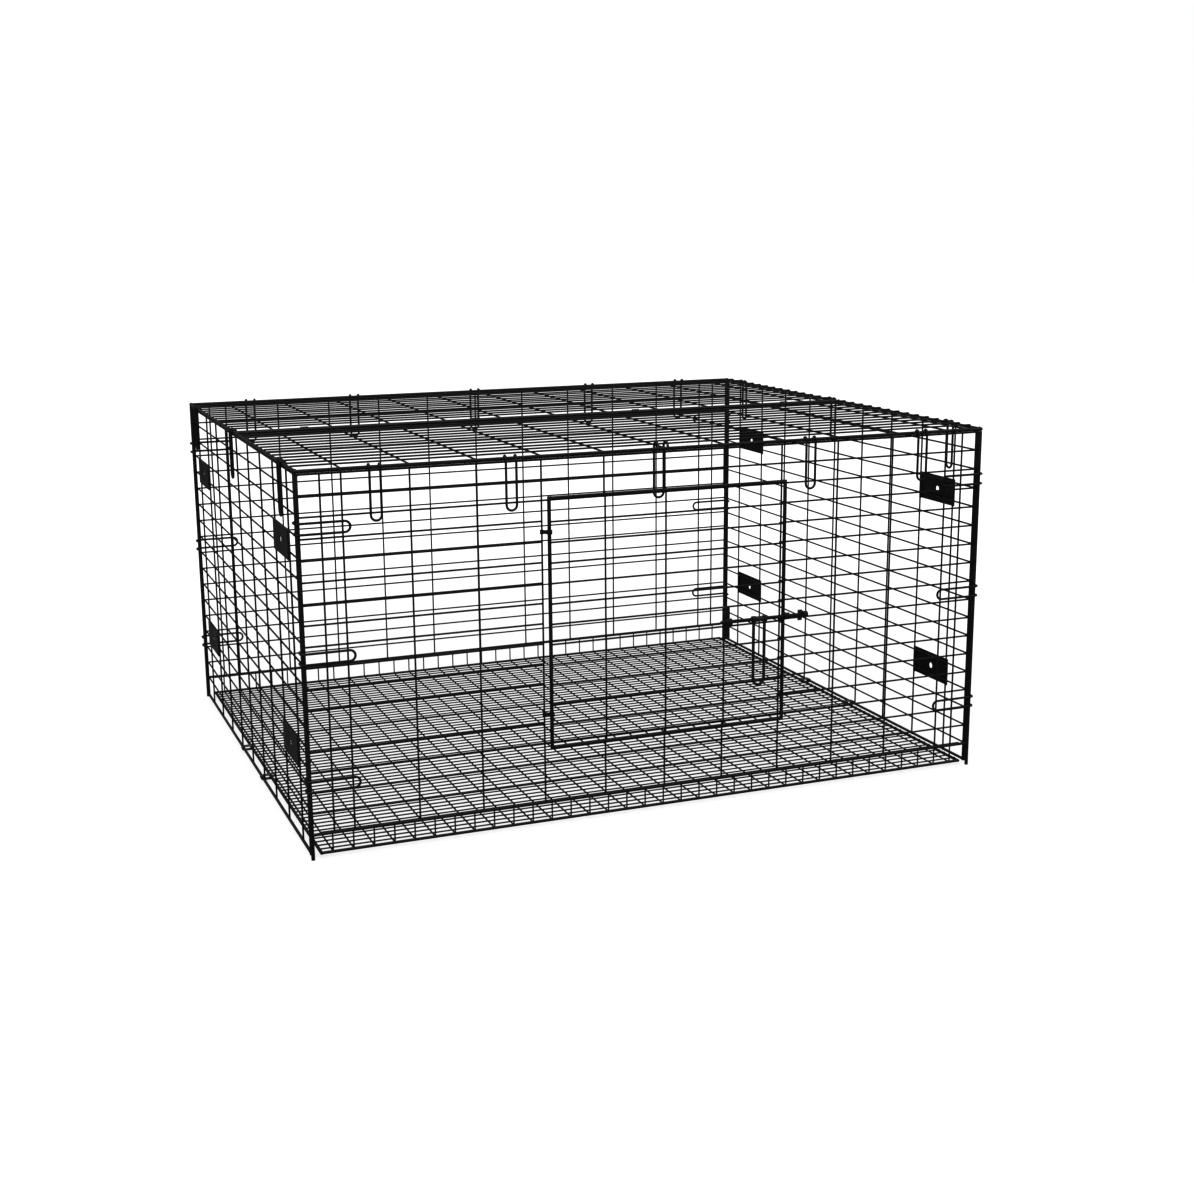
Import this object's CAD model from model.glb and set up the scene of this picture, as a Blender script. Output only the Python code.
"""A folding wire cage of black coated steel, with a hinged roof lid and a latched front door.

Lengths are millimetres in the CAD's frame until Mesh.make turns them into metres. X runs left to
right, +Y to the back (the front wall and door are at -Y) and +Z up. The cage is centred on X = 0.
"""
import bpy, bmesh, math, random
import numpy as np
from mathutils import Vector, Matrix


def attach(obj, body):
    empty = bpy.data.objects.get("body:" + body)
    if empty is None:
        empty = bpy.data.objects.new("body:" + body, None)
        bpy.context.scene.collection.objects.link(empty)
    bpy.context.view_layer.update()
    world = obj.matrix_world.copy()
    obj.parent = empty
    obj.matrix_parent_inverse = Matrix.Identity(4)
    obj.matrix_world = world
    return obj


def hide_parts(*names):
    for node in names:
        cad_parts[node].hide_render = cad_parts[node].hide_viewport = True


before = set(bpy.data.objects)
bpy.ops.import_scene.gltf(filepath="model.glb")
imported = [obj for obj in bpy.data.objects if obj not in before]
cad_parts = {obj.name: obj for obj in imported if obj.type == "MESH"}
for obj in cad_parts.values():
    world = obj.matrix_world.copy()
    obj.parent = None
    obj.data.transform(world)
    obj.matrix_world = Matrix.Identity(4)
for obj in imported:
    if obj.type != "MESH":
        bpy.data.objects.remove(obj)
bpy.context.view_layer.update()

# ---------------------------------------------------------------- dimensions (mm)
MM = 0.001
SHIFT_Y = 5.7                                # the cage's centre lies this far behind Y = 0
HALF_W, HALF_D = 457.2, 381.0                # to the frame rods
FLOOR_Z, ROOF_Z = 6.0, 466.0
WALL_TOP = ROOF_Z - 3.7
PITCH, BAY = 25.4, 81.0                      # spacing of horizontal wires and of uprights
UPRIGHTS_X = [i * BAY for i in range(-5, 6)]
SIDE_POST_SET = 7.6                          # side walls' posts stand in from the corners
SIDE_POST_Y = HALF_D - SIDE_POST_SET

FRAME_R, MESH_R = 2.3, 1.15                  # wire radii
BOTTOM_R, TOP_R, BORDER_R = 1.9, 1.33, 2.2
LAYER_1, LAYER_2 = 0.9, 2.8                  # offsets of the two mesh layers from the frame plane
LAYER_MID = (LAYER_1 + LAYER_2) / 2
POST_WELD = 2.35                             # offset of the beads where wires cross a frame rod
SEAM_Y = 4.0                                 # roof seam rods, either side of the middle
FIT = 0.06                                   # play between a ring and its rod

OPEN_HALF_W, OPEN_LOW, OPEN_HIGH = 162.0, 4, 16      # door opening; its sill and head are row numbers
DOOR_Y = -HALF_D - 3.6
DOOR_LEFT, DOOR_RIGHT = -154.0, 165.0
DOOR_BOTTOM, DOOR_TOP = FLOOR_Z + 97.0, FLOOR_Z + 409.5

BOLT_Y, BOLT_Z = DOOR_Y - 8.8, FLOOR_Z + 236.0
HANDLE_X = 126.0

HOOK_R, HOOK_HALF = 1.5, 6.5                 # wire radius, half the distance between the two legs
ROOF_HOOK_LEN, CORNER_HOOK_LEN = 62.0, 60.0
ARCH_SPAN = 12.5                             # reach of the hook that hangs inside the wall

X, Y, Z = np.eye(3)
# blob axes for a weld whose thin direction is X, Y or Z
FACING_X, FACING_Y, FACING_Z = (Y, Z, X), (Z, X, Y), (X, Y, Z)
# blob segments: around, pole to pole
FINE, MEDIUM, LIGHT, COARSE, TINY = (14, 8), (12, 6), (10, 6), (8, 5), (6, 4)
SMOOTH_ANGLE = 38
rng = random.Random(7)


# ---------------------------------------------------------------- geometry helpers
def unit(vector):
    return vector / np.linalg.norm(vector)


def across(axis, spare=X):
    """Two unit vectors square to axis; spare stands in for Z when axis is near Z."""
    u = unit(np.cross(axis, Z if abs(axis[2]) < 0.8 else spare))
    return u, np.cross(axis, u)


def arc(degrees, a, b):
    """Points (a cos, b sin) at the given angles."""
    return [(a * math.cos(math.radians(q)), b * math.sin(math.radians(q))) for q in degrees]


def circle(centre, axis, radius, sides):
    u, w = across(axis)
    return [centre + radius * (math.cos(q) * u + math.sin(q) * w)
            for q in np.arange(sides) * 2 * math.pi / sides]


class Mesh:
    """Collects closed shells in millimetres and makes one object of them."""
    def __init__(self):
        self.verts, self.faces, self.count = [], [], 0

    def add(self, verts, faces):
        verts = np.asarray(verts, float)
        self.verts.append(verts)
        self.faces += [tuple(i + self.count for i in face) for face in faces]
        self.count += len(verts)

    def sweep(self, path, radius, sides=10):
        """A round wire along path with softly rounded ends."""
        path = np.asarray(path, float)
        start, end = unit(path[1] - path[0]), unit(path[-1] - path[-2])
        cap = 0.32 * radius
        path = np.vstack([path[0], path[0] + start * cap * 0.3, path[0] + start * cap, path[1:-1],
                          path[-1] - end * cap, path[-1] - end * cap * 0.3, path[-1]])
        count = len(path)
        radii = np.full(count, radius)
        radii[[0, -1]] = radius * 0.66
        radii[[1, -2]] = radius * 0.9
        tangents = np.vstack([path[1] - path[0], path[2:] - path[:-2], path[-1] - path[-2]])
        tangents /= np.linalg.norm(tangents, axis=1)[:, None]
        u = across(tangents[0], spare=Y)[0]
        angles = np.arange(sides) * 2 * math.pi / sides
        cos, sin = np.cos(angles)[:, None], np.sin(angles)[:, None]
        rings = []
        for point, r, t in zip(path, radii, tangents):
            u = unit(u - t * (u @ t))
            rings.append(point + r * (cos * u + sin * np.cross(t, u)))
        faces = []
        for i in range(count - 1):
            a, b = i * sides, (i + 1) * sides
            for k in range(sides):
                l = (k + 1) % sides
                faces.append((a + l, b + l, b + k, a + k))
        first, last = count * sides, count * sides + 1
        for k in range(sides):
            l = (k + 1) % sides
            faces.append((l, k, first))
            faces.append((first - sides + k, first - sides + l, last))
        self.add(np.vstack(rings + [path[0], path[-1]]), faces)

    def wire(self, start, end, radius, sides=10, wobble=0.18, step=55.0):
        """A straight wire with the slight lie of real drawn wire; true at both ends."""
        start, end = np.asarray(start, float), np.asarray(end, float)
        length = np.linalg.norm(end - start)
        count = max(2, int(length / step) + 1)
        t = np.linspace(0, 1, count)
        path = start + (end - start) * t[:, None]
        if wobble and count > 3:
            along = (end - start) / length
            u = unit(np.cross(along, [0.31, 0.52, 0.79]))
            for direction in (u, np.cross(along, u)):
                slow, fast = rng.uniform(0.8, 1.6), rng.uniform(2, 4.5)
                phase = rng.uniform(0, 6.28)
                sway = wobble * (0.75 * np.sin(math.pi * slow * t + phase)
                                 + 0.35 * np.sin(math.pi * fast * t + 2 * phase))
                path = path + direction * (sway * np.sin(math.pi * t) ** 0.5)[:, None]
        self.sweep(path, radius, sides)

    def rod(self, start, end, radius, sides=16):
        """A straight wire without wobble."""
        self.wire(start, end, radius, sides, wobble=0)

    def blob(self, centre, half, segments=COARSE, axes=(X, Y, Z)):
        """A closed ellipsoid, for a weld's flow or a bead; half = half sizes along the axes."""
        n, m = segments
        verts = [[0, 0, 1]]
        for i in range(1, m):
            polar = math.pi * i / m
            for k in range(n):
                turn = 2 * math.pi * k / n
                verts.append([math.sin(polar) * math.cos(turn),
                              math.sin(polar) * math.sin(turn), math.cos(polar)])
        verts.append([0, 0, -1])
        verts = (np.array(verts) * np.asarray(half, float)) @ np.asarray(axes, float)
        faces = [(0, 1 + k, 1 + (k + 1) % n) for k in range(n)]
        for i in range(m - 2):
            a, b = 1 + i * n, 1 + (i + 1) * n
            for k in range(n):
                l = (k + 1) % n
                faces.append((a + k, b + k, b + l, a + l))
        ring, pole = 1 + (m - 2) * n, 1 + (m - 1) * n
        faces += [(pole, ring + (k + 1) % n, ring + k) for k in range(n)]
        self.add(verts + np.asarray(centre, float), faces)

    def weld(self, point, axes):
        """The flow of metal and coating where two wires cross; the last axis is its thin one."""
        k = rng.uniform(0.9, 1.12)
        self.blob(point, (1.5 * k, 1.5 * k, 0.86), axes=axes)

    def bead(self, point, axis, radius):
        """A bead round a rod where it butts against another."""
        self.blob(point, (1.3, radius, radius), FINE, (axis, *across(axis)))

    def skin(self, loops, closed=True):
        """Skins equal-length loops; closed joins the last to the first, else both ends are capped."""
        n, count = len(loops[0]), len(loops)
        faces = []
        for i in range(count if closed else count - 1):
            j = (i + 1) % count
            for k in range(n):
                l = (k + 1) % n
                faces.append((i * n + k, i * n + l, j * n + l, j * n + k))
        if not closed:
            faces.append(tuple(reversed(range(n))))
            faces.append(tuple((count - 1) * n + k for k in range(n)))
        self.add(np.vstack([np.asarray(loop, float) for loop in loops]), faces)

    def revolve(self, centre, axis, profile, sides, closed):
        """Turns profile, points of (distance along axis, radius), about axis."""
        centre = np.asarray(centre)
        self.skin([circle(centre + axis * d, axis, r, sides) for d, r in profile], closed)

    def ring(self, centre, axis, bore, outer, height, sides, ease):
        """A ring with eased edges, centred on centre; bore and outer are radii."""
        h = height / 2
        self.revolve(centre, axis, [
            (-h + ease, bore), (-h, bore + ease), (-h, outer - ease),
            (-h + ease * 0.3, outer - ease * 0.3), (-h + ease, outer),
            (h - ease, outer), (h - ease * 0.3, outer - ease * 0.3),
            (h, outer - ease), (h, bore + ease), (h - ease, bore)], sides, closed=True)

    def box(self, lo, hi, ease, axes=(X, Y, Z), origin=(0, 0, 0)):
        """A block with eased edges."""
        bm = bmesh.new()
        bmesh.ops.create_cube(bm, size=1)
        lo, hi = np.asarray(lo, float), np.asarray(hi, float)
        for vert in bm.verts:
            vert.co = Vector(tuple((lo + hi) / 2 + np.array(vert.co) * (hi - lo)))
        bmesh.ops.bevel(bm, geom=list(bm.edges), offset=ease, segments=2, profile=0.6,
                        affect="EDGES")
        verts = np.array([vert.co[:] for vert in bm.verts]) @ np.asarray(axes, float)
        faces = [tuple(vert.index for vert in face.verts) for face in bm.faces]
        bm.free()
        self.add(verts + np.asarray(origin, float), faces)

    def make(self, name, body, cad_node, material):
        data = bpy.data.meshes.new(name)
        verts = (np.vstack(self.verts) + np.array([0, SHIFT_Y, 0])) * MM
        data.from_pydata(verts.tolist(), [], self.faces)
        data.validate()
        bm = bmesh.new()
        bm.from_mesh(data)
        bmesh.ops.recalc_face_normals(bm, faces=bm.faces)
        bm.to_mesh(data)
        bm.free()
        for face in data.polygons:
            face.use_smooth = True
        data.set_sharp_from_angle(angle=math.radians(SMOOTH_ANGLE))
        obj = bpy.data.objects.new(name, data)
        bpy.context.scene.collection.objects.link(obj)
        data.materials.append(material)
        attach(obj, body)
        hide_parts(cad_node)


# ---------------------------------------------------------------- shader helpers
def add_node(tree, kind, inputs=None, **settings):
    """Adds a node; inputs maps a socket's name or number to a value or to the socket feeding it."""
    new = tree.nodes.new(kind)
    for key, value in settings.items():
        setattr(new, key, value)
    for key, value in (inputs or {}).items():
        if isinstance(value, bpy.types.NodeSocket):
            tree.links.new(value, new.inputs[key])
        else:
            new.inputs[key].default_value = value
    return new


def noise(tree, vector, scale, detail, roughness):
    return add_node(tree, "ShaderNodeTexNoise", {
        "Vector": vector, "Scale": scale, "Detail": detail, "Roughness": roughness}).outputs["Fac"]


def map_range(tree, value, low=0.0, high=1.0, to_low=0.0, to_high=1.0):
    return add_node(tree, "ShaderNodeMapRange",
                    {0: value, 1: low, 2: high, 3: to_low, 4: to_high}).outputs[0]


def combine(tree, operation, *operands):
    return add_node(tree, "ShaderNodeMath", dict(enumerate(operands)),
                    operation=operation).outputs[0]


def mix(tree, data_type, factor, a, b):
    return add_node(tree, "ShaderNodeMix", {"Factor": factor, "A": a, "B": b},
                    data_type=data_type).outputs["Result"]


def bump(tree, height, strength, distance, **normal):
    return add_node(tree, "ShaderNodeBump", {
        "Strength": strength, "Distance": distance, "Height": height, **normal}).outputs[0]


def new_material(name):
    material = bpy.data.materials.new(name)
    material.use_nodes = True
    material.node_tree.nodes.clear()
    return material, material.node_tree


# ---------------------------------------------------------------- coatings
def rubbed(tree, coords, pointiness, colour, roughness, wear, brush):
    """Bare steel in fine scratches, stretched by brush, and on eased edges."""
    stretched = add_node(tree, "ShaderNodeMapping", {"Vector": coords, "Scale": brush}).outputs[0]
    scratches = noise(tree, stretched, scale=220.0, detail=5.0, roughness=0.75)
    edges = map_range(tree, pointiness, low=0.505, high=0.60)
    rub = combine(tree, "MULTIPLY_ADD", edges, 0.22, scratches)
    bare = map_range(tree, rub, low=0.76 - wear * 0.24, high=0.82 - wear * 0.2)
    colour = mix(tree, "RGBA", bare, colour, (0.36, 0.35, 0.34, 1))
    return colour, mix(tree, "FLOAT", bare, roughness, 0.30), bare


def coating(name, base, rough, seed, grain=900.0, lump=140.0, dust=0.04, wear=0.0, brush=None):
    """Black baked coating over steel wire: orange peel, thicker and thinner patches, settled dust
    on upward faces, and bare steel showing through where parts rub."""
    material, tree = new_material(name)
    coords = add_node(tree, "ShaderNodeTexCoord").outputs["Object"]
    place = add_node(tree, "ShaderNodeMapping", {
        "Vector": coords, "Location": (seed, seed * 0.7, seed * 1.3)}).outputs[0]
    peel = noise(tree, place, scale=grain, detail=3.0, roughness=0.55)
    lumps = noise(tree, place, scale=lump, detail=2.0, roughness=0.5)
    patches = noise(tree, place, scale=11.0, detail=4.0, roughness=0.6)

    # colour: coat thickness, then dust
    colour = mix(tree, "RGBA", map_range(tree, patches, low=0.32, high=0.68),
                 (*[b * 0.72 for b in base], 1), (*[b * 1.45 + 0.004 for b in base], 1))
    geometry = add_node(tree, "ShaderNodeNewGeometry")
    normal = add_node(tree, "ShaderNodeSeparateXYZ", {0: geometry.outputs["Normal"]})
    upward = map_range(tree, normal.outputs["Z"], low=0.55, high=1.0)
    specks = noise(tree, place, scale=60.0, detail=5.0, roughness=0.7)
    specks = map_range(tree, specks, low=0.42, high=0.75)
    settled = combine(tree, "MULTIPLY", combine(tree, "MULTIPLY", upward, specks), dust)
    colour = mix(tree, "RGBA", settled, colour, (0.30, 0.29, 0.27, 1))

    roughness = map_range(tree, patches, low=0.25, high=0.75,
                          to_low=rough - 0.09, to_high=rough + 0.12)
    roughness = combine(tree, "ADD", roughness, settled)
    surface = {"IOR": 1.5, "Specular IOR Level": 0.45, "Coat Weight": 0.14, "Coat Roughness": 0.22}
    if wear > 0:
        colour, roughness, surface["Metallic"] = rubbed(
            tree, coords, geometry.outputs["Pointiness"], colour, roughness, wear, brush)
    lumpy = bump(tree, lumps, strength=0.35, distance=0.00022)
    surface["Normal"] = bump(tree, peel, strength=0.4, distance=0.00006, Normal=lumpy)
    surface.update({"Base Color": colour, "Roughness": roughness})
    shader = add_node(tree, "ShaderNodeBsdfPrincipled", surface)
    add_node(tree, "ShaderNodeOutputMaterial", {0: shader.outputs[0]})
    return material


BLACK = (0.018, 0.018, 0.019)
SHEET_BLACK = (0.017, 0.017, 0.018)
WALL_COAT = coating("coat_wall_wire", BLACK, rough=0.42, seed=0.3)
ROOF_COAT = coating("coat_roof_wire", BLACK, rough=0.42, dust=0.14, seed=1.1)
FLOOR_COAT = coating("coat_floor_wire", (0.024, 0.024, 0.025), rough=0.46, dust=0.16, seed=2.2)
DOOR_COAT = coating("coat_door_wire", BLACK, rough=0.40, seed=3.7)
HOOK_COAT = coating("coat_hook_wire", BLACK, rough=0.38, wear=0.12, brush=(6, 6, 1), seed=4.1)
SHEET_COAT = coating("coat_sheet", SHEET_BLACK, rough=0.44, grain=1300.0, lump=90.0,
                     wear=0.15, brush=(1, 1, 7), seed=5.9)
LATCH_COAT = coating("coat_latch", SHEET_BLACK, rough=0.34, wear=0.30, brush=(1, 9, 9), seed=6.4)


# ---------------------------------------------------------------- walls
def wall(name, cad_node, side, is_end, opening=False):
    """A wall on the side -1 or +1: front and back if is_end, else left and right."""
    if is_end:
        half_run, plane = HALF_W, HALF_D
        columns = UPRIGHTS_X + [-430.0, 430.0]
        foot, rail_z, first_row, facing = 0, FLOOR_Z + PITCH, 2, FACING_Y
    else:
        half_run, plane = SIDE_POST_Y, HALF_W
        columns = [i * BAY for i in range(-4, 5)]
        foot, rail_z, first_row, facing = FLOOR_Z - 2.1, FLOOR_Z, 1, FACING_X

    def xyz(along, out, z):
        return (along, out, z) if is_end else (out, along, z)

    def at(along, inset, z):
        return xyz(along, side * plane - side * inset, z)

    mesh = Mesh()
    posts = (-half_run, half_run)
    for post in posts:
        mesh.rod(at(post, 0, foot), at(post, 0, WALL_TOP + 0.9), FRAME_R)
    for z, radius in ((rail_z, BOTTOM_R), (WALL_TOP, TOP_R)):
        mesh.rod(at(-half_run - 1.8, 0, z), at(half_run + 1.8, 0, z), radius)
        for end in (-1, 1):
            mesh.blob(at(end * (half_run - 2.3), 0, z - 0.3), xyz(1.5, 2.1, radius + 0.2), FINE)

    # uprights, cut away at the door opening
    uprights = []
    for column in columns:
        runs = [(rail_z - 1.2, WALL_TOP + 0.9)]
        if opening and abs(column) < OPEN_HALF_W - 1:
            runs = [(rail_z - 1.2, FLOOR_Z + OPEN_LOW * PITCH + 0.8),
                    (FLOOR_Z + OPEN_HIGH * PITCH - 0.8, WALL_TOP + 0.9)]
        for low, high in runs:
            mesh.wire(at(column, LAYER_1, low), at(column, LAYER_1, high), MESH_R, wobble=0.16)
            uprights.append((column, low, high))
        mesh.blob(at(column, LAYER_1, rail_z), xyz(1.6, 1.2, 2.2), LIGHT)
        mesh.blob(at(column, LAYER_1, WALL_TOP - 0.3), xyz(1.5, 1.15, 1.5), LIGHT)

    # rows, with a weld at each upright they cross
    for row in range(first_row, 18):
        z = FLOOR_Z + row * PITCH
        reach = half_run + 0.8
        runs = [(-reach, reach)]
        if opening and OPEN_LOW < row < OPEN_HIGH:
            runs = [(-reach, -OPEN_HALF_W + 1), (OPEN_HALF_W - 1, reach)]
        for start, end in runs:
            mesh.wire(at(start, LAYER_2, z), at(end, LAYER_2, z), MESH_R, wobble=0.16)
            for column, low, high in uprights:
                if start - 1 <= column <= end + 1 and low - 1 <= z <= high + 1:
                    mesh.weld(at(column, LAYER_MID, z), facing)
            for post in posts:
                if start - 2 <= post <= end + 2:
                    mesh.blob(at(post, POST_WELD, z), xyz(2.0, 0.8, 1.6), LIGHT)
    mesh.make(name, "cage_frame", cad_node, WALL_COAT)


wall("front_wall_wire", "front_panel", -1, is_end=True, opening=True)
wall("back_wall_wire", "back_panel", 1, is_end=True)
wall("left_wall_wire", "left_side_panel", -1, is_end=False)
wall("right_wall_wire", "right_side_panel", 1, is_end=False)


# ---------------------------------------------------------------- roof
def roof_half(name, body, cad_node, side):
    """The half in front of the seam (side -1) or behind it (+1)."""
    mesh = Mesh()
    edge, seam = side * HALF_D, side * SEAM_Y
    mesh.rod((-HALF_W - 2.2, edge, ROOF_Z), (HALF_W + 2.2, edge, ROOF_Z), FRAME_R)
    for x in (-HALF_W, HALF_W):
        mesh.rod((x, edge, ROOF_Z), (x, seam, ROOF_Z), BORDER_R)
        for y in (HALF_D - 2.5, SEAM_Y + 2.5):
            mesh.bead((x, side * y, ROOF_Z + 0.6), Y, 2.6)
    mesh.rod((-HALF_W - FRAME_R, seam, ROOF_Z), (HALF_W + FRAME_R, seam, ROOF_Z), FRAME_R, 24)
    z = ROOF_Z + LAYER_1
    for x in UPRIGHTS_X:
        mesh.wire((x, side * (HALF_D + 1.0), z), (x, side * (SEAM_Y - 0.4), z), MESH_R, wobble=0.16)
        mesh.blob((x, side * (HALF_D - 2.2), z), (1.6, 1.4, 1.3), LIGHT)
    z = ROOF_Z + LAYER_2
    for row in range(1, 15):
        y = side * row * PITCH
        mesh.wire((-HALF_W - 0.8, y, z), (HALF_W + 0.8, y, z), MESH_R, wobble=0.16)
        for x in UPRIGHTS_X:
            mesh.weld((x, y, ROOF_Z + LAYER_MID), FACING_Z)
        for x in (-HALF_W, HALF_W):
            mesh.blob((x, y, ROOF_Z + POST_WELD), (2.0, 1.6, 0.8), LIGHT)
    mesh.make(name, body, cad_node, ROOF_COAT)


def seam_rings():
    """Groups of three rings round the lid's seam rod, each with a block to the rear rod."""
    mesh = Mesh()
    for bays in (-4.5, -1.5, 1.5, 4.5):
        x = bays * BAY
        for offset in (-3.7, 0, 3.7):
            mesh.ring((x + offset, -SEAM_Y, ROOF_Z), X, FRAME_R + FIT, FRAME_R + 2.1,
                      height=3.5, sides=32, ease=0.7)
        mesh.box((x - 4.9, -SEAM_Y + 3.1, ROOF_Z - 1.9), (x + 4.9, SEAM_Y - 1.6, ROOF_Z + 1.9), 0.6)
        mesh.blob((x, SEAM_Y - 2.2, ROOF_Z), (5.2, 1.5, 2.7), FINE)
    mesh.make("roof_seam_rings", "cage_frame", "lid_hinge_rings", SHEET_COAT)


roof_half("roof_lid_wire", "roof_lid", "roof_front_lid", -1)
roof_half("roof_rear_wire", "cage_frame", "roof_rear_panel", 1)
seam_rings()

# ---------------------------------------------------------------- floor
FLOOR_Y, FLOOR_X = HALF_D - 4.1, HALF_W - 11.2       # to the floor's border rods
FLOOR_R = 1.0
FLOOR_BEND = 3.2
FLOOR_COLUMNS = [i * PITCH for i in range(-17, 18)]
CROSS_PITCH = PITCH / 2
CLIP_Y, CLIP_HALF_LEN, CLIP_EASE = 69.85, 4.5, 0.22
# half width, half height, corner radius
CLIP_OUTER, CLIP_INNER = (8.6, 3.0, 2.8), (7.8, 2.2, 2.05)


def floor_column(mesh, x):
    """One wire: up the front, along the floor, up the back."""
    bend = arc((30, 60, 90), FLOOR_BEND, FLOOR_BEND)
    tip, low = FLOOR_Z + PITCH + 1.2, FLOOR_Z + FLOOR_BEND
    inner = FLOOR_Y - FLOOR_BEND
    path = [(x, -FLOOR_Y, tip), (x, -FLOOR_Y, low)]
    path += [(x, -inner - c, low - s) for c, s in bend]
    path += [(x + 0.12 * math.sin(y * 0.017 + x), y, FLOOR_Z + 0.1 * math.sin(y * 0.021 + 2 * x))
             for y in np.linspace(-FLOOR_Y + 70, FLOOR_Y - 70, 9)]
    path += [(x, inner + c, low - s) for c, s in reversed(bend)]
    path += [(x, FLOOR_Y, low), (x, FLOOR_Y, tip)]
    mesh.sweep(path, FLOOR_R, 8)


def floor_grid():
    mesh = Mesh()
    reach, rim_z = FLOOR_X + 1, FLOOR_Z + PITCH
    for x in (-FLOOR_X, FLOOR_X):
        mesh.rod((x, -FLOOR_Y - 1.6, FLOOR_Z), (x, FLOOR_Y + 1.6, FLOOR_Z), 2.0, 14)
    for side in (-1, 1):
        y = side * FLOOR_Y
        mesh.rod((-reach, y, FLOOR_Z), (reach, y, FLOOR_Z), 1.85, 14)
        y = side * (FLOOR_Y - 1.8)
        mesh.wire((-reach, y, rim_z), (reach, y, rim_z), FLOOR_R, 8, wobble=0.12)
        for x in FLOOR_COLUMNS:
            mesh.weld((x, side * (FLOOR_Y - 0.9), rim_z), FACING_Y)
    for x in FLOOR_COLUMNS:
        floor_column(mesh, x)
    rows = int((HALF_D - 10.1) // CROSS_PITCH)
    for row in range(-rows, rows + 1):
        y, z = row * CROSS_PITCH, FLOOR_Z + 1.9
        mesh.wire((-reach, y, z), (reach, y, z), FLOOR_R, 8, wobble=0.10, step=90)
        for x in FLOOR_COLUMNS:
            mesh.blob((x, y, FLOOR_Z + 0.95), (1.25, 1.25, 0.7), TINY)
        for x in (-FLOOR_X, FLOOR_X):
            mesh.blob((x, y, FLOOR_Z + 1.5), (1.7, 1.4, 0.85), (8, 4))
    mesh.make("floor_wire_grid", "cage_frame", "floor_grid", FLOOR_COAT)


def rounded_rectangle(half_x, half_z, radius, grow):
    half_x, half_z, radius = half_x + grow, half_z + grow, radius + grow
    x, z = half_x - radius, half_z - radius
    corners = ((x, z, 0), (-x, z, 90), (-x, -z, 180), (x, -z, 270))
    return [(cx + dx, cz + dz) for cx, cz, turn in corners
            for dx, dz in arc([turn + 90 * k / 7 for k in range(8)], radius, radius)]


def floor_clips():
    """Flat loops round the side walls' bottom rails and the floor's side rods."""
    mesh = Mesh()
    ease = CLIP_EASE
    for side in (-1, 1):
        x = side * (FLOOR_X + HALF_W) / 2
        for end in (-1, 1):
            y0, y1 = end * CLIP_Y - CLIP_HALF_LEN, end * CLIP_Y + CLIP_HALF_LEN
            # outline, growth, y
            stations = [(CLIP_OUTER, -ease, y0), (CLIP_OUTER, 0, y0 + ease),
                        (CLIP_OUTER, 0, y1 - ease), (CLIP_OUTER, -ease, y1),
                        (CLIP_INNER, ease, y1), (CLIP_INNER, 0, y1 - ease),
                        (CLIP_INNER, 0, y0 + ease), (CLIP_INNER, ease, y0)]
            mesh.skin([[(x + dx, y, FLOOR_Z + dz) for dx, dz in rounded_rectangle(*outline, grow)]
                       for outline, grow, y in stations])
    mesh.make("floor_rail_clips", "cage_frame", "floor_clips", SHEET_COAT)


floor_grid()
floor_clips()


# ---------------------------------------------------------------- door
def door_panel():
    mesh = Mesh()
    for x, over, sides in ((DOOR_LEFT, FRAME_R, 24), (DOOR_RIGHT, 2.1, 18)):
        mesh.rod((x, DOOR_Y, DOOR_BOTTOM - over), (x, DOOR_Y, DOOR_TOP + over), FRAME_R, sides)
    for z in (DOOR_BOTTOM, DOOR_TOP):
        mesh.rod((DOOR_LEFT, DOOR_Y, z), (DOOR_RIGHT + 1.8, DOOR_Y, z), BORDER_R, 18)
        for x in (DOOR_LEFT + 2.4, DOOR_RIGHT - 2.4):
            mesh.bead((x, DOOR_Y, z), X, 2.6)
    uprights = (-BAY, 0, BAY)
    y = DOOR_Y + 0.9
    for x in uprights:
        mesh.wire((x, y, DOOR_BOTTOM - 1.2), (x, y, DOOR_TOP + 1.2), MESH_R, wobble=0.15)
        for z in (DOOR_BOTTOM, DOOR_TOP):
            mesh.blob((x, y, z), (1.6, 1.3, 2.5), LIGHT)
    y = DOOR_Y - 0.9
    for row in range(OPEN_LOW + 1, OPEN_HIGH):
        z = FLOOR_Z + row * PITCH
        mesh.wire((DOOR_LEFT - 0.3, y, z), (DOOR_RIGHT + 1.1, y, z), MESH_R, wobble=0.13)
        for x in uprights:
            mesh.weld((x, DOOR_Y, z), FACING_Y)
        for x in (DOOR_LEFT + 1.2, DOOR_RIGHT):
            mesh.blob((x, y, z), (2.0, 1.2, 1.6), LIGHT)
    mesh.make("door_wire", "door", "door_panel", DOOR_COAT)


def hinge_link(which, row):
    """An eye closed on the jamb wire and a running eye on the door's hinge rod."""
    mesh = Mesh()
    hinge = np.array([DOOR_LEFT, DOOR_Y, FLOOR_Z + row * PITCH])
    jamb = np.array([-OPEN_HALF_W, -HALF_D + LAYER_1, hinge[2]])
    mesh.ring(hinge, Z, FRAME_R + FIT, FRAME_R + 1.3, height=5, sides=36, ease=0.35)
    mesh.ring(jamb, Z, MESH_R + 0.02, MESH_R + 1.3, height=5, sides=28, ease=0.3)
    length = np.linalg.norm(jamb - hinge)
    along = (jamb - hinge) / length
    mesh.box((FRAME_R + 0.8, -1.25, -2.3), (length - MESH_R - 0.6, 1.25, 2.3), 0.35,
             axes=(along, np.cross(Z, along), Z), origin=hinge)
    mesh.make("door_hinge_link_" + which, "cage_frame", "door_hinge_" + which,
              SHEET_COAT)


door_panel()
hinge_link("upper", 14.5)
hinge_link("lower", 5.5)

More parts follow.
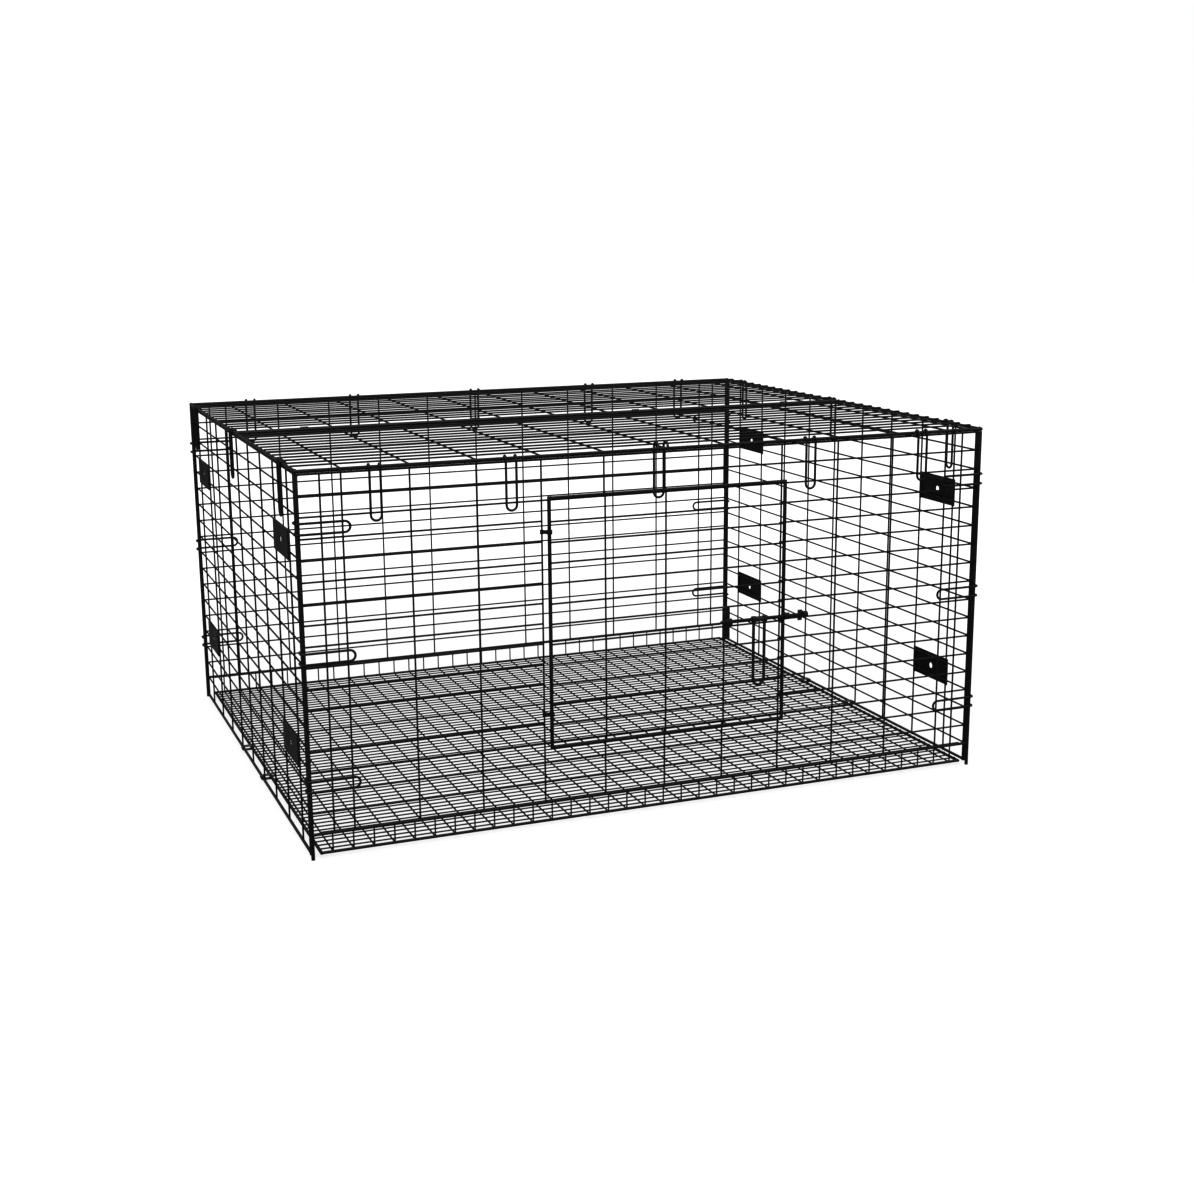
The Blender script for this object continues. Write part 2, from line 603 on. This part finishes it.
# ---------------------------------------------------------------- latch
GUIDE_X, KEEPER_X = 82, 192
BOLT_LEFT, BOLT_RIGHT = 72, 184
EYE_OFFSET, LEG_OFFSET = 7.65, 7.7           # handle's eyes and legs from its middle
HANDLE_R, HANDLE_DROP = 1.9, 79              # wire radius, bolt to the centre of the U bend
# the bolt's plain left end, its collar and where the rounded tip starts: x, radius
BOLT_PROFILE = [
    (BOLT_LEFT, 0), (BOLT_LEFT, 1.8), (72.12, 2.1), (72.5, FRAME_R), (100, FRAME_R),
    (121.0, FRAME_R), (121.1, 2.9), (121.5, 3.5), (130.5, 3.5), (130.9, 2.9), (131.0, FRAME_R),
    (160, FRAME_R), (BOLT_RIGHT - FRAME_R, FRAME_R)]


def bolt_ring(mesh, x, height, play=FIT, wall=2.1, sides=40, ease=0.5):
    mesh.ring((x, BOLT_Y, BOLT_Z), X, FRAME_R + play, FRAME_R + wall, height, sides, ease)


def bolt_stem(mesh, x, half_x, back, half_z, ease):
    """The block from a ring back to y = back."""
    mesh.box((x - half_x, BOLT_Y + 3.3, BOLT_Z - half_z), (x + half_x, back, BOLT_Z + half_z), ease)


def latch_guide():
    mesh = Mesh()
    mesh.box((GUIDE_X - 5, DOOR_Y - 4.0, BOLT_Z - 24), (GUIDE_X + 5, DOOR_Y - 1.9, BOLT_Z + 18), 0.6)
    bolt_ring(mesh, GUIDE_X, height=10)
    bolt_stem(mesh, GUIDE_X, 4.9, DOOR_Y - 3.2, 2.9, ease=0.5)
    for row in (9, 10):
        mesh.blob((GUIDE_X, DOOR_Y - 2.0, FLOOR_Z + row * PITCH), (4.4, 0.9, 1.6), MEDIUM)
    mesh.make("latch_flat_bar_guide", "door", "latch_inner_guide", SHEET_COAT)


def latch_rod_eye():
    mesh = Mesh()
    bolt_ring(mesh, DOOR_RIGHT, height=8)
    bolt_stem(mesh, DOOR_RIGHT, 3.9, DOOR_Y - 1.9, 2.9, ease=0.5)
    mesh.blob((DOOR_RIGHT, DOOR_Y - 2.3, BOLT_Z), (4.4, 1.2, 4.0), FINE)
    mesh.make("latch_rod_eye", "door", "latch_edge_guide", SHEET_COAT)


def latch_bolt():
    mesh = Mesh()
    tip = [(BOLT_RIGHT - FRAME_R + s, c) for c, s in arc((18, 36, 54, 70, 84), FRAME_R, FRAME_R)]
    profile = [(x, max(r, 0.02)) for x, r in BOLT_PROFILE + tip + [(BOLT_RIGHT, 0)]]
    mesh.revolve((0, BOLT_Y, BOLT_Z), X, profile, sides=32, closed=False)
    mesh.make("latch_round_bolt", "bolt", "latch_bolt", LATCH_COAT)


def latch_handle():
    """Two eyes on the bolt with a U of wire hanging from them."""
    mesh = Mesh()
    eyes = (HANDLE_X - EYE_OFFSET, HANDLE_X + EYE_OFFSET)
    for x in eyes:
        bolt_ring(mesh, x, height=5.1, wall=2.0, sides=36, ease=0.55)
    bend_z = BOLT_Z - HANDLE_DROP
    leg = [BOLT_Z - 3.4, *np.linspace(BOLT_Z - 18, bend_z, 5)]
    path = [(HANDLE_X - LEG_OFFSET, BOLT_Y, z) for z in leg]
    path += [(HANDLE_X - dx, BOLT_Y, bend_z - dz)
             for dx, dz in arc(range(15, 180, 15), LEG_OFFSET, LEG_OFFSET)]
    path += [(HANDLE_X + LEG_OFFSET, BOLT_Y, z) for z in reversed(leg)]
    mesh.sweep(path, HANDLE_R, 16)
    for x in eyes:
        mesh.blob((x, BOLT_Y, BOLT_Z - 4.4), (2.3, 2.2, 1.4), FINE)
    mesh.make("latch_u_handle", "handle", "latch_handle", LATCH_COAT)


def latch_keeper():
    mesh = Mesh()
    face_y = -HALF_D + LAYER_2 - MESH_R * 0.92
    foot = FLOOR_Z + 8.86 * PITCH
    mesh.box((KEEPER_X - 3, face_y - 1.6, foot), (KEEPER_X + 3, face_y + 0.15, foot + 14), 0.45)
    bolt_ring(mesh, KEEPER_X, height=6, play=FIT + 0.03, wall=1.9, ease=0.45)
    bolt_stem(mesh, KEEPER_X, 2.9, face_y - 0.7, 2.3, ease=0.4)
    mesh.blob((KEEPER_X, face_y + 0.1, FLOOR_Z + 9 * PITCH), (3.2, 0.9, 1.6), MEDIUM)
    mesh.make("latch_wall_keeper", "cage_frame", "latch_keeper", SHEET_COAT)


latch_guide()
latch_rod_eye()
latch_bolt()
latch_handle()
latch_keeper()

# ---------------------------------------------------------------- roof hooks
HOOK_X = (-366, -201, 0, 201, 366)
INNER_HOOK_X = -3                            # the lid's middle hook


def roof_hook_path(inner):
    """A loop hung on a rod along X at the origin: outside the wall (-Y), or inside it (+Y)
    with a wide arch."""
    bend_z = -ROOF_HOOK_LEN + HOOK_HALF
    if inner:
        r, leg_y, arch_z = ARCH_SPAN / 2, ARCH_SPAN, FRAME_R * 0.92 - 0.2
        arch = [(r + y, arch_z + z) for y, z in arc(range(20, 180, 20), r, r)]
        end = [(0, arch_z), (0, 0.6)]
    else:
        r = FRAME_R + HOOK_R - 0.25
        leg_y, arch_z = -r, 0
        arch = arc(range(20, 180, 20), -r, r)
        end = [(r, 0), (r, -1.0)]
    leg = [(leg_y, z) for z in np.linspace(bend_z, arch_z, 5)] + arch + end
    path = [(-HOOK_HALF, y, z) for y, z in reversed(leg)]
    path += [(x, leg_y, bend_z - z) for x, z in arc(range(20, 180, 20), -HOOK_HALF, HOOK_HALF)]
    path += [(HOOK_HALF, y, z) for y, z in leg]
    return np.array(path, float)


def roof_hooks(name, body, cad_node, places):
    """places: x, y, turn about Z in degrees."""
    mesh = Mesh()
    for x, y, turn in places:
        c, s = math.cos(math.radians(turn)), math.sin(math.radians(turn))
        axes = np.array([[c, s, 0], [-s, c, 0], [0, 0, 1]])
        origin = np.array([x, y, ROOF_Z])
        mesh.sweep(roof_hook_path(x == INNER_HOOK_X) @ axes + origin, HOOK_R, 12)
        for leg in (-HOOK_HALF, HOOK_HALF):
            mesh.blob(np.array([leg, 0, 2.2]) @ axes + origin, (2.1, 2.0, 1.3), MEDIUM, axes)
    mesh.make(name, body, cad_node, HOOK_COAT)


roof_hooks("lid_front_hook_loops", "roof_lid", "lid_front_hooks",
           [(x or INNER_HOOK_X, -HALF_D, 0) for x in HOOK_X])
roof_hooks("roof_back_hook_loops", "cage_frame", "roof_back_hooks",
           [(x, HALF_D, 180) for x in HOOK_X])
roof_hooks("lid_side_hook_loops", "roof_lid", "lid_side_hooks",
           [(side * HALF_W, -12 * PITCH, side * 90) for side in (-1, 1)])
roof_hooks("roof_side_hook_loops", "cage_frame", "roof_side_hooks",
           [(side * HALF_W, y, side * 90) for side in (-1, 1) for y in (15, 12.5 * PITCH)])

# ---------------------------------------------------------------- corner hooks
CORNER_HOOK_Z = (86, 241, 394)               # above FLOOR_Z


def corner_hook_path():
    """A loop from the side wall's post round the front right corner post at the origin."""
    r, set_back = FRAME_R + HOOK_R + 0.1, SIDE_POST_SET
    tip_x = -CORNER_HOOK_LEN + HOOK_HALF
    leg = [(1.6, set_back), (r - 0.9, set_back), (r - 0.25, 7.35), (r, 6.7), (r, 0)]
    leg += arc((22.5, 45, 67.5, 90), r, -r)
    leg += [(x, -r) for x in np.linspace(-14, tip_x, 4)]
    tip = [(tip_x - x, -r, z) for z, x in arc(range(20, 180, 20), HOOK_HALF, HOOK_HALF)]
    return np.array([(x, y, HOOK_HALF) for x, y in leg] + tip
                    + [(x, y, -HOOK_HALF) for x, y in reversed(leg)], float)


def corner_hooks(corner, side_x, side_y):
    mesh = Mesh()
    path = corner_hook_path() * np.array([side_x, -side_y, 1])
    for height in CORNER_HOOK_Z:
        z = FLOOR_Z + height
        mesh.sweep(path + np.array([side_x * HALF_W, side_y * HALF_D, z]), HOOK_R, 12)
        for leg in (-HOOK_HALF, HOOK_HALF):
            mesh.blob((side_x * (HALF_W + 2.4), side_y * SIDE_POST_Y, z + leg),
                      (1.2, 1.9, 2.0), MEDIUM)
    mesh.make("corner_loops_" + corner, "cage_frame", "corner_hooks_" + corner,
              HOOK_COAT)


corner_hooks("front_left", -1, -1)
corner_hooks("back_left", -1, 1)
corner_hooks("front_right", 1, -1)
corner_hooks("back_right", 1, 1)

# ---------------------------------------------------------------- connector plates
PLATE_T, PLATE_EASE = 1.5, 0.25
PLATE_HALF_Y, PLATE_HALF_Z = BAY / 2, 18.5
HOLE_R = 4.0
PLATE_X = HALF_W - LAYER_1 + MESH_R + 0.05   # the inner face
PLATE_ANGLES = [360 * (k + 0.5) / 64 for k in range(64)]


def plate_rectangle(half_y, half_z):
    """A rectangle sampled at PLATE_ANGLES, the nearest points moved onto its corners."""
    points = []
    for c, s in arc(PLATE_ANGLES, 1, 1):
        scale = min(half_y / abs(c), half_z / abs(s))
        points.append((scale * c, scale * s))
    for corner in ((y, z) for y in (-half_y, half_y) for z in (-half_z, half_z)):
        nearest = min(range(len(points)), key=lambda i: math.dist(points[i], corner))
        points[nearest] = corner
    return points


def plate(mesh, side, y, z):
    """A drilled, slightly dished plate with both ends rolled half round the uprights."""
    full = plate_rectangle(PLATE_HALF_Y, PLATE_HALF_Z)
    eased = plate_rectangle(PLATE_HALF_Y, PLATE_HALF_Z - PLATE_EASE)
    t = PLATE_T
    stations = [(eased, 0), (full, PLATE_EASE), (full, t - PLATE_EASE), (eased, t)]
    # dish and hole: radius, depth from the inner face
    for radius, depth in ((11.0, t), (9.2, t - 0.3), (HOLE_R + 1.6, t - 0.35),
                          (HOLE_R + 0.3, t - 0.45), (HOLE_R, t - 0.7), (HOLE_R, 0.25),
                          (HOLE_R + 0.25, 0), (11.0, 0)):
        stations.append((arc(PLATE_ANGLES, radius, radius), depth))
    mesh.skin([[(side * (PLATE_X + depth), y + dy, z + dz) for dy, dz in points]
               for points, depth in stations])

    inner = MESH_R + 0.05
    roll = arc(range(-90, 91, 15), inner + t, inner + t) + arc(range(90, -91, -15), inner, inner)
    middle = np.mean(roll, 0)
    # height from the middle, scale of the section
    rolled = ((-PLATE_HALF_Z, 0.93), (-PLATE_HALF_Z + PLATE_EASE, 1), (0, 1),
              (PLATE_HALF_Z - PLATE_EASE, 1), (PLATE_HALF_Z, 0.93))
    for end in (-1, 1):
        loops = []
        for dz, scale in rolled:
            section = middle + (np.array(roll) - middle) * scale
            loops.append([(side * (HALF_W - LAYER_1 + dx), y + end * PLATE_HALF_Y + dy, z + dz)
                          for dx, dy in section])
        mesh.skin(loops, closed=False)


for side, side_name in ((-1, "left"), (1, "right")):
    mesh = Mesh()
    for y in (-3.5 * BAY, 3.5 * BAY):
        for z in (FLOOR_Z + 112, FLOOR_Z + 366):
            plate(mesh, side, y, z)
    mesh.make("side_plates_" + side_name, "cage_frame", "connector_plates_" + side_name,
              SHEET_COAT)

# the CAD nodes are all replaced; coat them too, so none is ever plain
for cad_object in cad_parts.values():
    for material_slot in cad_object.material_slots:
        material_slot.material = WALL_COAT


# ---------------------------------------------------------------- studio (metres)
def studio_material():
    """White to the camera, a little dimmer near the cage; a dull floor to all other rays."""
    material, tree = new_material("studio_white")
    position = add_node(tree, "ShaderNodeNewGeometry").outputs["Position"]
    distance = add_node(tree, "ShaderNodeVectorMath", {0: position}, operation="LENGTH")
    strength = map_range(tree, distance.outputs["Value"], low=0.7, high=1.8,
                         to_low=0.80, to_high=1.0)
    glow = add_node(tree, "ShaderNodeEmission", {"Color": (1, 1, 1, 1), "Strength": strength})
    pale = add_node(tree, "ShaderNodeBsdfDiffuse", {"Color": (0.42, 0.42, 0.42, 1)})
    dull = add_node(tree, "ShaderNodeBsdfDiffuse", {"Color": (0.30, 0.30, 0.30, 1)})
    seen = add_node(tree, "ShaderNodeAddShader", {0: glow.outputs[0], 1: pale.outputs[0]})
    camera_ray = add_node(tree, "ShaderNodeLightPath").outputs["Is Camera Ray"]
    both = add_node(tree, "ShaderNodeMixShader",
                    {0: camera_ray, 1: dull.outputs[0], 2: seen.outputs[0]})
    add_node(tree, "ShaderNodeOutputMaterial", {0: both.outputs[0]})
    return material


def studio_floor():
    data = bpy.data.meshes.new("studio_floor")
    bm = bmesh.new()
    bmesh.ops.create_grid(bm, x_segments=40, y_segments=40, size=12.0)
    bm.to_mesh(data)
    bm.free()
    obj = bpy.data.objects.new("studio_floor", data)
    bpy.context.scene.collection.objects.link(obj)
    data.materials.append(studio_material())


def studio_world(scene):
    """White to the camera, dimmer as a light."""
    world = bpy.data.worlds.new("studio")
    scene.world = world
    world.use_nodes = True
    tree = world.node_tree
    background = tree.nodes["Background"]
    background.inputs[0].default_value = (1, 1, 1, 1)
    camera_ray = add_node(tree, "ShaderNodeLightPath").outputs["Is Camera Ray"]
    strength = map_range(tree, camera_ray, to_low=0.32, to_high=1.0)
    tree.links.new(strength, background.inputs[1])


def area_light(scene, name, location, target, size, power):
    light = bpy.data.lights.new(name, "AREA")
    light.shape = "RECTANGLE"
    light.size = light.size_y = size
    light.energy = power
    obj = bpy.data.objects.new(name, light)
    scene.collection.objects.link(obj)
    obj.location = location
    aim = Vector(target) - Vector(location)
    obj.rotation_euler = aim.to_track_quat("-Z", "Y").to_euler()


def add_camera(scene, location, heading, dip, roll, lens):
    """heading turns from +Y towards +X, dip is below level; all angles in degrees."""
    camera = bpy.data.cameras.new("camera")
    camera.lens = lens
    camera.sensor_width = 36.0
    camera.clip_end = 60
    obj = bpy.data.objects.new("camera", camera)
    scene.collection.objects.link(obj)
    heading, dip, roll = math.radians(heading), math.radians(dip), math.radians(roll)
    forward = Vector((math.sin(heading) * math.cos(dip), math.cos(heading) * math.cos(dip),
                      -math.sin(dip)))
    level = forward.cross(Vector((0, 0, 1))).normalized()
    upright = level.cross(forward)
    right = level * math.cos(roll) + upright * math.sin(roll)
    up = -level * math.sin(roll) + upright * math.cos(roll)
    matrix = Matrix((right, up, -forward)).transposed().to_4x4()
    matrix.translation = Vector(location)
    obj.matrix_world = matrix
    scene.camera = obj


studio_floor()
scene = bpy.context.scene
scene.view_settings.view_transform = "Standard"
scene.view_settings.look = "None"
scene.view_settings.gamma = 0.70
studio_world(scene)
area_light(scene, "key", (-1.6, -2.4, 3.2), target=(0, 0, 0.2), size=3.0, power=40)
area_light(scene, "fill", (2.8, -1.2, 2.0), target=(0, 0, 0.2), size=2.5, power=14)
area_light(scene, "top", (0, 0.4, 3.4), target=(0, 0, 0), size=3.5, power=24)
add_camera(scene, (-0.8411, -2.2581 + SHIFT_Y * MM, 0.7464),
           heading=21.769, dip=12.783, roll=-0.420, lens=50.807035)
